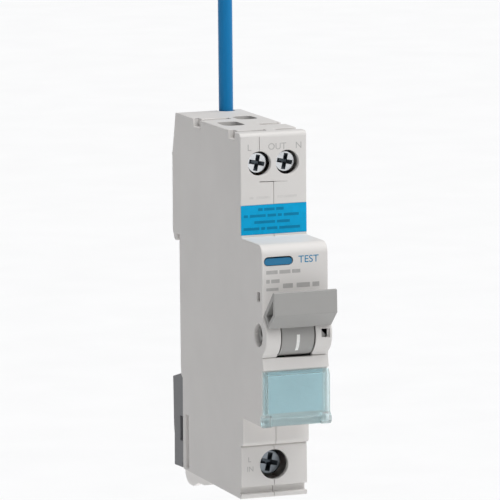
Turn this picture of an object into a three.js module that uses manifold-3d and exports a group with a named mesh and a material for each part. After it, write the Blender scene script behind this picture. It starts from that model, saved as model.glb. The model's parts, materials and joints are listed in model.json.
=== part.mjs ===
// A one-module residual current breaker with overload protection, for a 35 mm top-hat rail.
// Millimetres. The origin is the middle of the rail seat: X runs across the module to the right,
// -Y points out of the panel towards the user, and +Z is up the rail's wall.
import * as THREE from "three";
import { mergeVertices } from "three/addons/utils/BufferGeometryUtils.js";
import Module from "manifold-3d";

const wasm = await Module();
wasm.setup();

// Driving dimensions of the casing.
const HALF_WIDTH = 8.75;
const WALL = 1.4;
const GAP = 0.3;
const SEAM = 0.14;
const TOP_Z = 48.9;
const BOTTOM_Z = -43.1;
const BACK_BOTTOM_Z = -42.2;
const SHOULDER_Y = -44;
const LOW_SHOULDER_Y = -44.15;
const BLOCK_Y = -42.75;
const NOSE_Y = -57.95;
const NOSE_HALF_HEIGHT = 22.5;
const HOOK_Y = 4.6;
const LOWER_BACK_Y = -1.2;
const RAIL_HALF = 17.5;
const SEAT_HALF = 16.05;
const SEAT_RELIEF = 0.15;

// Parting planes between the two half shells.
const UPPER_PARTING_X = -3.7;
const LOWER_PARTING_X = 0;
const PARTING_STEP_Z = 36.6;
const NOSE_START_Y = -44.6;
const SEAT_PARTING_X = 1.5;
const SEAT_DEPTH_Y = -2.5;
const FLUSH_Z = 47.9;

// Toggle: its axis, its drum and its swing from on to off.
const TOGGLE_Y = -55;
const TOGGLE_Z = 0.3;
const CHEEK_RADIUS = 5.6;
const DRUM_RADIUS = 5.45;
const DRUM_X = [-4.5, 4.1];
const GRIP_HALF_WIDTH = 8.35;
const CRANK = [4.2, 0.5];

// Mechanism pivots.
const ARM_Y = -40.2;
const ARM_Z = 8.1;
const LEVER_Y = -31.5;
const LEVER_Z = 13;
const LINK_END = [-41, -1.2];
const LINK_X = -1.2;
const MCB_X = [-5.2, -2.4];

// Terminals: screw axes and where the cages stand along Y.
const SCREW_X = 3.7;
const SCREW_Z = 41.2;
const SUPPLY_SCREW_Z = -34.75;
const TERMINALS = {
  line: { x: -SCREW_X, front: -35, bus: -31.2, rear: -18.8, entryY: -24.1 },
  neutral: { x: SCREW_X, front: -27.2, bus: -21, rear: -9, entryY: -14.6 },
};
const CAGE_HALF_WIDTH = 3.2;
const CAGE_Z = [37.4, 45.2];
const BUS_THICKNESS = 1.3;

// Neutral lead: a straight insulated wire that leaves the top of the case at its rear edge.
const LEAD_X = 4.6;
const LEAD_Y = 0.8;
const LEAD_RADIUS = 1.825;
const LEAD_BOTTOM_Z = 32.2;
const LEAD_TOP_Z = 88;

const FINE = 40;
const MEDIUM = 28;
const COARSE = 16;

// ---------------------------------------------------------------- shape helpers

function toSolid(geometry) {
  const bare = geometry.index ? geometry.toNonIndexed() : geometry.clone();
  bare.deleteAttribute("normal");
  bare.deleteAttribute("uv");
  const merged = mergeVertices(bare, 1e-4);
  return new wasm.Manifold(
    new wasm.Mesh({
      numProp: 3,
      vertProperties: new Float32Array(merged.attributes.position.array),
      triVerts: new Uint32Array(merged.index.array),
    }),
  );
}

function box([x0, x1], [y0, y1], [z0, z1]) {
  const g = new THREE.BoxGeometry(x1 - x0, y1 - y0, z1 - z0);
  g.translate((x0 + x1) / 2, (y0 + y1) / 2, (z0 + z1) / 2);
  return toSolid(g);
}

function rodX([y, z], r, [x0, x1], sides = MEDIUM) {
  const g = new THREE.CylinderGeometry(r, r, x1 - x0, sides);
  g.rotateZ(Math.PI / 2);
  g.translate((x0 + x1) / 2, y, z);
  return toSolid(g);
}

function rodY([x, z], r, [y0, y1], sides = MEDIUM) {
  const g = new THREE.CylinderGeometry(r, r, y1 - y0, sides);
  g.translate(x, (y0 + y1) / 2, z);
  return toSolid(g);
}

function rodZ([x, y], r, [z0, z1], sides = MEDIUM) {
  const g = new THREE.CylinderGeometry(r, r, z1 - z0, sides);
  g.rotateX(Math.PI / 2);
  g.translate(x, y, (z0 + z1) / 2);
  return toSolid(g);
}

// Points [y, z] or [y, z, radius]: a corner with a radius is turned into an arc.
function outline(points, steps = 5) {
  const out = [];
  points.forEach(([u, v, r], i) => {
    if (!r) {
      out.push(new THREE.Vector2(u, v));
      return;
    }
    const at = new THREE.Vector2(u, v);
    const toward = (p) => new THREE.Vector2(p[0], p[1]).sub(at).normalize();
    const a = toward(points.at(i - 1));
    const b = toward(points[(i + 1) % points.length]);
    const half = Math.acos(THREE.MathUtils.clamp(a.dot(b), -1, 1)) / 2;
    const centre = at.clone().add(a.clone().add(b).normalize().multiplyScalar(r / Math.sin(half)));
    const from = at.clone().addScaledVector(a, r / Math.tan(half)).sub(centre);
    const to = at.clone().addScaledVector(b, r / Math.tan(half)).sub(centre);
    const sweep = Math.atan2(from.cross(to), from.dot(to));
    for (let k = 0; k <= steps; k++) {
      out.push(from.clone().rotateAround(new THREE.Vector2(), (sweep * k) / steps).add(centre));
    }
  });
  return out;
}

function arcPoints([y, z], r, fromDeg, toDeg, steps) {
  return Array.from({ length: steps + 1 }, (_, k) => {
    const a = THREE.MathUtils.degToRad(fromDeg + ((toDeg - fromDeg) * k) / steps);
    return [y + r * Math.cos(a), z + r * Math.sin(a)];
  });
}

// A side profile in the Y-Z plane, given thickness along X.
function slab(points, [x0, x1], steps) {
  const g = new THREE.ExtrudeGeometry(new THREE.Shape(outline(points, steps)), {
    depth: x1 - x0,
    bevelEnabled: false,
  });
  const toSide = new THREE.Matrix4().makeBasis(
    new THREE.Vector3(0, 1, 0),
    new THREE.Vector3(0, 0, 1),
    new THREE.Vector3(1, 0, 0),
  );
  g.applyMatrix4(toSide);
  g.translate(x0, 0, 0);
  return toSolid(g);
}

// An outline in the X-Y plane, given thickness along Z.
function plate(points, [z0, z1], steps) {
  const g = new THREE.ExtrudeGeometry(new THREE.Shape(outline(points, steps)), {
    depth: z1 - z0,
    bevelEnabled: false,
  });
  g.translate(0, 0, z0);
  return toSolid(g);
}

function tube(points, r, sides, steps) {
  const path = new THREE.CatmullRomCurve3(points.map((p) => new THREE.Vector3(...p)));
  const ring = Array.from({ length: sides }, (_, k) => {
    const a = (2 * Math.PI * k) / sides;
    return new THREE.Vector2(r * Math.cos(a), r * Math.sin(a));
  });
  const g = new THREE.ExtrudeGeometry(new THREE.Shape(ring), { extrudePath: path, steps });
  return toSolid(g);
}

const ringX = (at, [rIn, rOut], x, sides) =>
  rodX(at, rOut, x, sides).subtract(rodX(at, rIn, [x[0] - 1, x[1] + 1], sides));
const ringY = (at, [rIn, rOut], y, sides) =>
  rodY(at, rOut, y, sides).subtract(rodY(at, rIn, [y[0] - 1, y[1] + 1], sides));
const ringZ = (at, [rIn, rOut], z, sides) =>
  rodZ(at, rOut, z, sides).subtract(rodZ(at, rIn, [z[0] - 1, z[1] + 1], sides));
const union = (...solids) => solids.reduce((a, b) => a.add(b));
const cut = (solid, ...tools) => tools.reduce((a, b) => a.subtract(b), solid);

// ---------------------------------------------------------------- materials and nodes

const MATERIALS = {
  casing: { color: 0xd2d0cd, roughness: 0.55 },
  toggle: { color: 0x9d9c9a, roughness: 0.5 },
  clip: { color: 0x7b7b7d, roughness: 0.6 },
  clear: { color: 0xbad2da, roughness: 0.1, opacity: 0.5, transparent: true },
  card: { color: 0xdfe3e3, roughness: 0.9 },
  blueLabel: { color: 0x0a93c6, roughness: 0.5 },
  blueButton: { color: 0x2a86b4, roughness: 0.45 },
  leadInsulation: { color: 0x0f6cab, roughness: 0.45 },
  wireInsulation: { color: 0x6d4a35, roughness: 0.5 },
  steel: { color: 0xb6babd, roughness: 0.35, metalness: 1 },
  copper: { color: 0xb87349, roughness: 0.35, metalness: 1 },
  silver: { color: 0xd9d9d6, roughness: 0.3, metalness: 1 },
  darkPlastic: { color: 0x2d2e30, roughness: 0.6 },
  fibre: { color: 0xc9b48a, roughness: 0.85 },
  circuit: { color: 0x1e6b3c, roughness: 0.5 },
  component: { color: 0x2b4f86, roughness: 0.5 },
};

const root = new THREE.Group();

function addNode(name, solid, material) {
  const mesh = solid.getMesh();
  const g = new THREE.BufferGeometry();
  g.setAttribute("position", new THREE.BufferAttribute(mesh.vertProperties, 3));
  g.setIndex(new THREE.BufferAttribute(mesh.triVerts, 1));
  g.computeVertexNormals();
  const node = new THREE.Mesh(g, new THREE.MeshStandardMaterial(MATERIALS[material]));
  node.name = name;
  root.add(node);
}

// ---------------------------------------------------------------- casing

const TOGGLE_AXIS = [TOGGLE_Y, TOGGLE_Z];
const COVER_HINGE = [-57.9, -21];
const COVER_RECESS_Y = -57;
const COVER_TOP_Z = -8.3;
const HINGE_GROOVE_RADIUS = 1.9;
const LABEL_SEAT_Y = -43.75;

function caseProfile() {
  const cheekHalf = Math.sqrt(CHEEK_RADIUS ** 2 - (NOSE_Y - TOGGLE_Y) ** 2);
  const cheekDeg = THREE.MathUtils.radToDeg(Math.atan2(cheekHalf, NOSE_Y - TOGGLE_Y));
  return [
    [1.7, TOP_Z, 0.6],
    [HOOK_Y, 38.2, 4],
    [HOOK_Y, 18.6, 2.4],
    [3.3, 16.2, 1],
    [1.5, 16.2, 0.3],
    [1.5, RAIL_HALF + 0.4],
    [-SEAT_RELIEF, RAIL_HALF + 0.4],
    [-SEAT_RELIEF, SEAT_HALF],
    [0, SEAT_HALF],
    [0, -SEAT_HALF],
    [-SEAT_RELIEF, -SEAT_HALF],
    [-SEAT_RELIEF, -18.2],
    [LOWER_BACK_Y, -18.9],
    [LOWER_BACK_Y, BACK_BOTTOM_Z, 0.6],
    [BLOCK_Y, BOTTOM_Z, 0.8],
    [BLOCK_Y, -41.8, 0.2],
    [BLOCK_Y + WALL, -41.8],
    [BLOCK_Y + WALL, -40.05],
    [BLOCK_Y, -40.05, 0.2],
    [BLOCK_Y, -29.72, 0.55],
    [BLOCK_Y + 0.6, -29.72],
    [BLOCK_Y + 0.6, -29.6],
    [LOW_SHOULDER_Y, -29.6, 1.3],
    [LOW_SHOULDER_Y, -NOSE_HALF_HEIGHT],
    [COVER_HINGE[0] + 1.2, -NOSE_HALF_HEIGHT],
    ...arcPoints(COVER_HINGE, HINGE_GROOVE_RADIUS, -52, 61, 8),
    [COVER_RECESS_Y, COVER_TOP_Z],
    [NOSE_Y - 0.25, COVER_TOP_Z],
    [NOSE_Y + 0.25, -5.1],
    ...arcPoints(TOGGLE_AXIS, CHEEK_RADIUS, 360 - cheekDeg, cheekDeg, 16),
    [NOSE_Y, 22.9, 2.6],
    [SHOULDER_Y, 22.9],
    [SHOULDER_Y, TOP_Z, 1.2],
  ];
}

const CAVITY = [
  [0.2, 46.4],
  [3.1, 38],
  [3.1, 20],
  [-WALL, 19.4],
  [-WALL, -18.6],
  [LOWER_BACK_Y - WALL, -19.6],
  [LOWER_BACK_Y - WALL, -40.9],
  [-40, -41.7],
  [-40, -39.6],
  [-41.3, -39.6],
  [-41.3, -29.4],
  [-42.7, -28.6],
  [-42.7, -21.1],
  [-54.2, -21.1],
  [-55.6, -18.9],
  [-55.6, -7],
  [-56.5, -6],
  [-56.5, 19.8],
  [-54.9, 21.4],
  [-42.6, 21.4],
  [-42.6, 46.4],
];

const FOOT = [
  [LOWER_BACK_Y, -40],
  [LOWER_BACK_Y, -45.8, 3.6],
  [-7.4, -45.8, 2.4],
  [-10.6, -44.5, 2],
  [-15, -44.3, 3],
  [-19.5, -43.4, 0.6],
  [-19.5, -40],
];

const CAPS = {
  line: { x: [-7.25, -0.2], y: [-38, -13.2] },
  neutral: { x: [2.2, 8], y: [-37.5, -27] },
};
const CAP_Z = [47.7, TOP_Z];
const BUTTON_AT = [-4.25, 18.75];
const BUTTON_X = [-7.9, -0.6];

// A bar along X with round ends, as deep as y.
function lozenge([x0, x1], z, r, y) {
  return union(box([x0 + r, x1 - r], y, [z - r, z + r]), rodY([x0 + r, z], r, y), rodY([x1 - r, z], r, y));
}

const tabNotches = () => [
  box([-10, -HALF_WIDTH + WALL + 0.1], [-15.8, -10.9], [46.9, 50]),
  box([-10, -HALF_WIDTH + WALL + 0.1], [-39.9, -35.6], [46.9, 50]),
  box([8, 10], [-41, -37.5], [48.1, 50]),
  box([8, 10], [-30.5, -27], [48.1, 50]),
];

const capSteps = () => [
  box([-10, -0.2], [-40.2, -38 - SEAM], [48.5, 50]),
  box([-10, -0.2], [-15.6, -13.2], [48.5, 50]),
  box([2.2, 10], [-41, -37.5 - SEAM], [48.5, 50]),
  box([2.2, 10], [-30.5, -27], [48.5, 50]),
];

function wireEntry({ x, entryY }, halfX, halfY, z) {
  const corner = 1.6;
  return plate(
    [
      [x - halfX, entryY - halfY, corner],
      [x + halfX, entryY - halfY, corner],
      [x + halfX, entryY + halfY, corner],
      [x - halfX, entryY + halfY, corner],
    ],
    z,
    3,
  );
}

const ENTRY_HALF = { line: [2.7, 4.1], neutral: [2.6, 3.4] };
const entryCuts = () =>
  Object.keys(TERMINALS).map((k) => wireEntry(TERMINALS[k], ...ENTRY_HALF[k], [46, 50]));

function hollowCase() {
  const across = [-HALF_WIDTH, HALF_WIDTH];
  const inside = [-HALF_WIDTH + WALL, HALF_WIDTH - WALL];
  const cheekHollow = 5.05;
  const capSeats = Object.values(CAPS).map(({ x, y }) =>
    box(x, [y[0] - SEAM, y[1] + SEAM], [CAP_Z[0] - 0.1, 50]),
  );
  let body = cut(slab(caseProfile(), across), slab(CAVITY, inside));
  body = union(
    body,
    cut(box([-7.5, -1.5], [-52, -51.3], [16.9, 21.6]), rodY(BUTTON_AT, 1.25, [-53, -50], COARSE)),
    slab(FOOT, [-8.3, -6.9]),
    slab(FOOT, [6.9, 8.3]),
  );
  return cut(
    body,
    rodX(TOGGLE_AXIS, DRUM_RADIUS + GAP, [DRUM_X[0] - GAP, DRUM_X[1] + GAP], FINE),
    rodX(TOGGLE_AXIS, cheekHollow, [-7.3, DRUM_X[0]], MEDIUM),
    rodX(TOGGLE_AXIS, cheekHollow, [DRUM_X[1], 7.4], MEDIUM),
    rodX(TOGGLE_AXIS, 2.3, [7.2, 8.2], MEDIUM),
    box([5.9, 8.1], [-61, -59.9], [-0.45, 1.75]),
    rodX(TOGGLE_AXIS, 2.85, [-10, -7], MEDIUM),
    box([-10, -7], [-56.3, -54.2], [8.8, 11]),
    lozenge([BUTTON_X[0] - GAP, BUTTON_X[1] + GAP / 2], 18.85, 1.15, [-60, -54.4]),
    box([-5.1, 3.6], [-60, -56.4], [-5.35, -4.9]),
    box([DRUM_X[0] - GAP, DRUM_X[1] + GAP], [-60, -56.1], [-5.35, -4]),
    box([3.6, 7.9], [-60, -57.2], [-5.27, -5.05]),
    box([-10, -5.1], [-60, -57.45], [-5.22, -5.05]),
    box([-10, 10], [-45, LABEL_SEAT_Y], [23.5, 30.95]),
    rodY([-SCREW_X, SCREW_Z], 3.05, [-46, -42], FINE),
    rodY([SCREW_X, SCREW_Z], 3.05, [-46, -42], FINE),
    rodY([0, SUPPLY_SCREW_Z], 3.75, [-46, -41], FINE),
    plate([[-3.6, -23.6, 1.5], [3.6, -23.6, 1.5], [3.6, -16.6, 1.5], [-3.6, -16.6, 1.5]], [-46, -40.5], 3),
    rodZ([LEAD_X, LEAD_Y], LEAD_RADIUS + 0.4, [35, 50], MEDIUM),
    box([-10, -7.65], [-5.2, -3], [-41.6, -28]),
    box([-6.3, -4.5], [-3, -1], [-41, -23.7]),
    box([4.5, 6.3], [-3, -1], [-41, -23.7]),
    box([0, SCREW_X], [-45, -43.6], [PARTING_STEP_Z - SEAM / 2, PARTING_STEP_Z + SEAM / 2]),
    ...capSeats,
    ...tabNotches(),
    ...capSteps(),
    ...entryCuts(),
  );
}

function makeShells() {
  const g = SEAM / 2;
  const whole = hollowCase();
  const step = PARTING_STEP_Z;
  const left = union(
    box([-12, UPPER_PARTING_X - g], [-50, 12], [step - 1, 60]),
    box([-12, UPPER_PARTING_X], [-50, -42.5], [step - 1, SCREW_Z - 2.5]),
    box([-12, UPPER_PARTING_X], [-50, 12], [FLUSH_Z, 60]),
    box([-12, LOWER_PARTING_X - g], [-50, 12], [-60, step - g]),
    box([-12, 12], [-70, NOSE_START_Y], [-23.5, 23.5]),
    box([-12, SEAT_PARTING_X - g], [SEAT_DEPTH_Y, 12], [-RAIL_HALF, RAIL_HALF]),
  );
  const right = cut(
    union(
      box([UPPER_PARTING_X + g, 12], [NOSE_START_Y + SEAM, 12], [step + g, 60]),
      box([UPPER_PARTING_X, 12], [NOSE_START_Y + SEAM, -42.5], [step + g, SCREW_Z - 2.5]),
      box([UPPER_PARTING_X, 12], [NOSE_START_Y + SEAM, 12], [FLUSH_Z, 60]),
      box([LOWER_PARTING_X + g, 12], [NOSE_START_Y + SEAM, 12], [-60, step + 1]),
    ),
    box([-12, SEAT_PARTING_X + g], [SEAT_DEPTH_Y - 1, 12], [-RAIL_HALF - GAP, RAIL_HALF + GAP]),
  );
  const largest = (s) => s.decompose().sort((a, b) => b.volume() - a.volume())[0];
  addNode("left_shell", largest(whole.intersect(left)), "casing");
  addNode("right_shell", largest(whole.intersect(right)), "casing");
}

function makeCaps() {
  const cuts = [...entryCuts(), ...tabNotches(), ...capSteps()];
  Object.entries(CAPS).forEach(([name, { x, y }]) => {
    addNode(`${name}_terminal_cap`, cut(box(x, y, CAP_Z), ...cuts), "casing");
  });
}

// ---------------------------------------------------------------- front labels and clear cover

function makeLabels() {
  addNode("blue_label", box([-8.7, 8.7], [-43.98, LABEL_SEAT_Y - 0.03], [23.55, 30.9]), "blueLabel");
  addNode("label_card", box([-7.3, 7.3], [-57.35, -57.1], [-19.2, -9]), "card");
  const knuckle = (x) => rodX(COVER_HINGE, 1.5, x, MEDIUM);
  const cover = union(
    slab(
      [
        [-57.6, -8.6],
        [-58.2, -8.6],
        [-59, -10.2],
        [-59, -22.3, 0.9],
        [-57.6, -22.3],
      ],
      [-8.7, 8.7],
    ).subtract(box([-7.5, 7.5], [-58.2, -57], [-20.4, -9.6])),
    knuckle([-8.9, -6.7]),
    knuckle([6.7, 8.9]),
  );
  addNode("label_cover", cover, "clear");
}

// ---------------------------------------------------------------- toggle

const fromToggle = ([y, z]) => [TOGGLE_Y + y, TOGGLE_Z + z];

function makeToggle() {
  const grip = [[-9.95, 11.75], [-10.1, 6.05], [-5.8, 2.2], [-3.1, 5.6], [-9.3, 11.85]];
  const pocket = [[-9.1, 9.9], [-9.15, 6.4], [-6, 3.7], [-4.6, 5.5]];
  const crank = fromToggle(CRANK);
  const slot = [fromToggle([2.4, -6.5]), fromToggle([6.5, 1.6])];
  const pocketSlab = (x) => slab(pocket.map(fromToggle), x);
  const web = [...arcPoints([0, 0], 4, 156, 124, 4), ...arcPoints([0, 0], 6.6, 124, 156, 4)];
  let toggle = cut(
    slab(grip.map(fromToggle), [-GRIP_HALF_WIDTH, GRIP_HALF_WIDTH]),
    pocketSlab([-9, -5.4]),
    pocketSlab([5.4, 9]),
  );
  toggle = union(
    toggle,
    slab(web.map(fromToggle), DRUM_X),
    rodX(TOGGLE_AXIS, DRUM_RADIUS, DRUM_X, FINE),
    rodX(TOGGLE_AXIS, 2.55, [-7.6, DRUM_X[0] + 1], MEDIUM),
    rodX(TOGGLE_AXIS, 2, [DRUM_X[1] - 1, 8], MEDIUM),
  );
  toggle = cut(
    toggle,
    rodX(fromToggle([0, 0.9]), 1.5, [-10, -5.2], COARSE),
    rodX(fromToggle([0.1, -1.7]), 0.65, [-10, -6.2], COARSE),
    rodX(crank, 0.95, [-3.3, 0.9], COARSE),
    box([LINK_X - 0.9, LINK_X + 0.9], [slot[0][0], slot[1][0]], [slot[0][1], slot[1][1]]),
  );
  addNode("toggle", toggle, "toggle");
  addNode("toggle_spring", ringX(TOGGLE_AXIS, [2.9, 3.8], [-7, -4.9], MEDIUM), "steel");
}

function makeStatusFlag() {
  const sector = box([4, 8], [-62, TOGGLE_Y], [TOGGLE_Z - 3.4, TOGGLE_Z + 3.4]);
  const rim = ringX(TOGGLE_AXIS, [3.65, 4.8], [4.8, 7.1], MEDIUM).intersect(sector);
  const web = rodX(TOGGLE_AXIS, 4.8, [4.8, 5.9], MEDIUM).intersect(sector);
  const hub = rodX(TOGGLE_AXIS, 3.2, [4.8, 5.9], MEDIUM);
  const flag = cut(union(rim, web, hub), rodX(TOGGLE_AXIS, 2.3, [4, 8], MEDIUM));
  addNode("status_flag", flag, "toggle");
}

function makeLinkRod() {
  const start = fromToggle(CRANK);
  const wire = 0.6;
  const a = new THREE.Vector3(LINK_X, ...start);
  const b = new THREE.Vector3(LINK_X, ...LINK_END);
  const along = b.clone().sub(a);
  const g = new THREE.CylinderGeometry(wire, wire, along.length(), COARSE);
  const turn = new THREE.Quaternion().setFromUnitVectors(
    new THREE.Vector3(0, 1, 0),
    along.clone().normalize(),
  );
  g.applyQuaternion(turn);
  g.translate(...a.clone().add(b).multiplyScalar(0.5).toArray());
  const rod = union(
    toSolid(g),
    rodX(start, wire, [LINK_X - 1.8, LINK_X + 1.8], COARSE),
    rodX(LINK_END, wire, [LINK_X - 0.9, LINK_X + wire], COARSE),
  );
  addNode("link_rod", rod, "steel");
}

// ---------------------------------------------------------------- contacts and trip mechanism

function makeContacts() {
  const blade = [
    [-42.2, 8.3],
    [-42.6, -1.2],
    [-41, -5.5],
    [-38.8, -8.6],
    [-37, -8.6],
    [-37, -6.4],
    [-38.8, -4.6],
    [-39.2, 0],
    [-38.2, 8.3],
  ];
  const arm = cut(
    union(slab(blade, MCB_X), rodX([ARM_Y, ARM_Z], 2.2, MCB_X)),
    rodX([ARM_Y, ARM_Z], 1.05, [-8, 2], COARSE),
    rodX(LINK_END, 1.1, [-8, 2], COARSE),
  );
  const strip = [
    [-35.7, -4.6],
    [-35.7, -10.2],
    [-13, -10.2],
    [-13, -9.3],
    [-34.9, -9.3],
    [-34.9, -4.6],
  ];
  const padX = [-4.6, -3];
  const padZ = [-8.4, -6.8];
  addNode("contact_arm", arm, "copper");
  addNode("moving_contact_pad", box(padX, [-36.98, -36.4], padZ), "silver");
  addNode("fixed_contact_pad", box(padX, [-36.3, -35.72], padZ), "silver");
  addNode("fixed_contact", slab(strip, MCB_X), "copper");
  addNode("arm_pin", rodX([ARM_Y, ARM_Z], 0.8, [-7, 0.7], COARSE), "steel");
  addNode("contact_spring", ringX([ARM_Y, ARM_Z], [1.1, 1.9], [-2.1, 0.4], COARSE), "steel");
}

function makeTripLever() {
  const at = [LEVER_Y, LEVER_Z];
  const leg = [
    [-33.2, 13],
    [-31.6, 1.5],
    [-31.6, -1.6],
    [-30.2, -1.6],
    [-30.2, 1.5],
    [-29.8, 13],
  ];
  const latch = [
    [-31, 15],
    [-36.8, 14.4],
    [-36.8, 13.2],
    [-35.6, 13.2],
    [-31, 12],
  ];
  const lever = cut(
    union(
      slab(leg, MCB_X),
      slab(latch, MCB_X),
      rodX(at, 2, MCB_X),
      box([MCB_X[0], 6], [-31.6, -30.2], [-1.6, 1.2]),
    ),
    rodX(at, 1, [-8, 2], COARSE),
  );
  addNode("trip_lever", lever, "darkPlastic");
  addNode("trip_lever_pin", rodX(at, 0.75, [-7, 0.7], COARSE), "steel");
  addNode("trip_lever_spring", ringX(at, [1.05, 1.8], [-2.1, 0.2], COARSE), "steel");
}

function makeMagnet() {
  const axis = [-3.7, 2];
  const across = [-6.6, -0.8];
  const yoke = cut(
    union(
      box(across, [-28, -27], [-4, 8]),
      box(across, [-12, -11], [-4, 8]),
      box(across, [-28, -11], [7, 8]),
    ),
    rodY(axis, 0.95, [-29, -26], COARSE),
  );
  addNode("magnet_yoke", yoke, "steel");
  addNode("magnet_coil", ringY(axis, [2.1, 3.2], [-26.5, -12.5], MEDIUM), "copper");
  addNode(
    "magnet_plunger",
    union(rodY(axis, 1.75, [-24, -14.5], COARSE), rodY(axis, 0.6, [-28.5, -23.5], COARSE)),
    "steel",
  );
  addNode("plunger_spring", ringY(axis, [0.9, 1.6], [-26.7, -25.8], COARSE), "steel");
}

function makeThermalTrip() {
  addNode("bimetal_strip", box([-5.2, -2.6], [-40, -39.2], [-28.1, -11.5]), "steel");
  const braid = [
    [-6.2, -39.4, -11.5],
    [-6.3, -38.6, -9.5],
    [-6.4, -40.4, -8],
    [-6.4, -42.4, -6],
    [-6.3, -41.6, -3.5],
    [-6.2, -40.6, -2],
  ];
  addNode("braid", tube(braid, 0.7, 8, 14), "copper");
}

function makeArcChute() {
  const plates = 6;
  const pitch = 2.2;
  const x = [-6.15, -1.25];
  for (let i = 0; i < plates; i++) {
    const z = -12.4 - i * pitch;
    const blank = plate(
      [
        [x[0], -36],
        [-3.7, -31.5],
        [x[1], -36],
        [x[1], -16],
        [x[0], -16],
      ],
      [z - 0.9, z],
    );
    addNode(`arc_plate_${i + 1}`, blank, "steel");
  }
  const z = [-12.2 - plates * pitch, -12];
  const frame = union(
    box([x[0] - 0.9, x[0] - GAP], [-36, -15], z),
    box([x[1] + GAP, x[1] + 0.9], [-36, -15], z),
    box([x[0] - 0.9, x[1] + 0.9], [-15.7, -15], z),
  );
  addNode("arc_chute_frame", frame, "fibre");
}

// ---------------------------------------------------------------- residual current half

function makeElectronics() {
  const window = box([0, 3], [-36.5, -28.5], [-3.6, 3]);
  addNode("partition", cut(box([1, 1.8], [-42.2, -3], [-27.9, 14.5]), window), "darkPlastic");
  addNode("circuit_board", box([2.4, 3.6], [-41, -4], [-27, -6]), "circuit");
  addNode("surge_capacitor", rodX([-34, -19], 3.6, [3.9, 7], MEDIUM), "component");
  addNode("varistor", rodX([-24, -19], 3.8, [3.9, 5.9], MEDIUM), "component");
  addNode("control_chip", box([3.9, 5], [-17, -9], [-21, -15]), "darkPlastic");
  const pinAt = [4.9, -0.2];
  const relay = cut(box([3, 7], [-26, -12], [-4.2, 5.2]), rodY(pinAt, 1, [-27, -20], COARSE));
  addNode("trip_relay", relay, "darkPlastic");
  addNode("relay_pin", rodY(pinAt, 0.7, [-29.2, -21], COARSE), "steel");
  addNode("sense_toroid", ringZ([0, -14], [3, 6.9], [22, 29], FINE), "component");
}

function makeWires() {
  const line = [
    [-3.7, -9.4, 2],
    [-3.6, -9, 9],
    [-2.4, -11.4, 16],
    [-1.4, -14, 22],
    [-1.4, -14, 29],
    [-2, -17.5, 32],
    [-3.3, -25, 32.4],
    [-3.7, -30.5, 32.8],
  ];
  const neutral = [
    [4.6, 0.7, 31.4],
    [4.6, -0.7, 26],
    [4.4, -3.6, 20.5],
    [3.6, -7, 17.2],
    [2.2, -10.8, 16.4],
    [1.5, -13.4, 18.6],
    [1.4, -14, 22],
    [1.4, -14, 29],
    [2.2, -15.6, 31.8],
    [3.4, -18.4, 32.4],
    [3.7, -20.3, 32.8],
  ];
  addNode("line_wire", tube(line, 0.9, 8, 26), "wireInsulation");
  addNode("neutral_inner_wire", tube(neutral, 0.95, 8, 30), "leadInsulation");
}

// ---------------------------------------------------------------- terminals

function cage([x0, x1], [y0, y1], z, wall, screw, screwRadius) {
  const loop = cut(
    box([x0, x1], [y0, y1], z),
    box([x0 + wall, x1 - wall], [y0 + WALL, y1 - WALL], [z[0] - 1, z[1] + 1]),
  );
  return cut(loop, rodY(screw, screwRadius + 0.25, [y0 - 1, y0 + WALL + 1], COARSE));
}

function terminalScrew(at, head, shank) {
  const [x, z] = at;
  const depth = 1.2;
  const bar = head.r * 0.62;
  const width = 0.42;
  const y = [head.y[0] - 1, head.y[0] + depth];
  return cut(
    union(rodY(at, head.r, head.y, MEDIUM), rodY(at, shank.r, [head.y[1] - 0.5, shank.y], MEDIUM)),
    box([x - bar, x + bar], y, [z - width, z + width]),
    box([x - width, x + width], y, [z - bar, z + bar]),
  );
}

function makeTerminals() {
  const head = { r: 2.7, y: [-42, -39.8] };
  Object.entries(TERMINALS).forEach(([name, { x, front, bus, rear }]) => {
    const at = [x, SCREW_Z];
    const across = [x - CAGE_HALF_WIDTH, x + CAGE_HALF_WIDTH];
    const shank = { r: 1.8, y: bus - GAP };
    addNode(`${name}_cage`, cage(across, [front, rear], CAGE_Z, 0.85, at, shank.r), "steel");
    addNode(`${name}_screw`, terminalScrew(at, head, shank), "steel");
    addNode(`${name}_bus`, box([x - 2, x + 2], [bus, bus + BUS_THICKNESS], [34, 44.8]), "copper");
  });
  const supply = [0, SUPPLY_SCREW_Z];
  const bus = -25;
  const bar = union(
    box([-3, 3], [bus, bus + BUS_THICKNESS], [-38.4, -28.4]),
    box([MCB_X[0], -0.7], [-40.4, bus + BUS_THICKNESS], [-29.4, -28.4]),
  );
  const shank = { r: 2.2, y: bus - GAP };
  addNode("supply_cage", cage([-4.7, 4.7], [-30, -15], [-38.6, -30.9], 1, supply, shank.r), "steel");
  addNode("supply_screw", terminalScrew(supply, { r: 3.15, y: [-39, -36.6] }, shank), "steel");
  addNode("supply_bus", bar, "copper");
}

// ---------------------------------------------------------------- test circuit

function makeTestCircuit() {
  const at = BUTTON_AT;
  const button = union(
    lozenge(BUTTON_X, 18.73, 0.87, [-57.65, -55.9]),
    box([-6.8, -1.7], [-56.2, -55.3], [16.8, 19.7]),
    rodY(at, 0.9, [-55.5, -50.7], COARSE),
  );
  addNode("test_button", button, "blueButton");
  addNode("test_button_spring", ringY(at, [1.15, 1.75], [-53.9, -52.2], COARSE), "steel");
  addNode("test_blade", box([-6.2, -2.8], [-49.3, -48.9], [11, 20.6]), "copper");
  addNode("test_resistor", rodX([-46.5, 14.5], 1.2, [-6.6, 0.6], COARSE), "component");
}

// ---------------------------------------------------------------- rail clip

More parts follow.
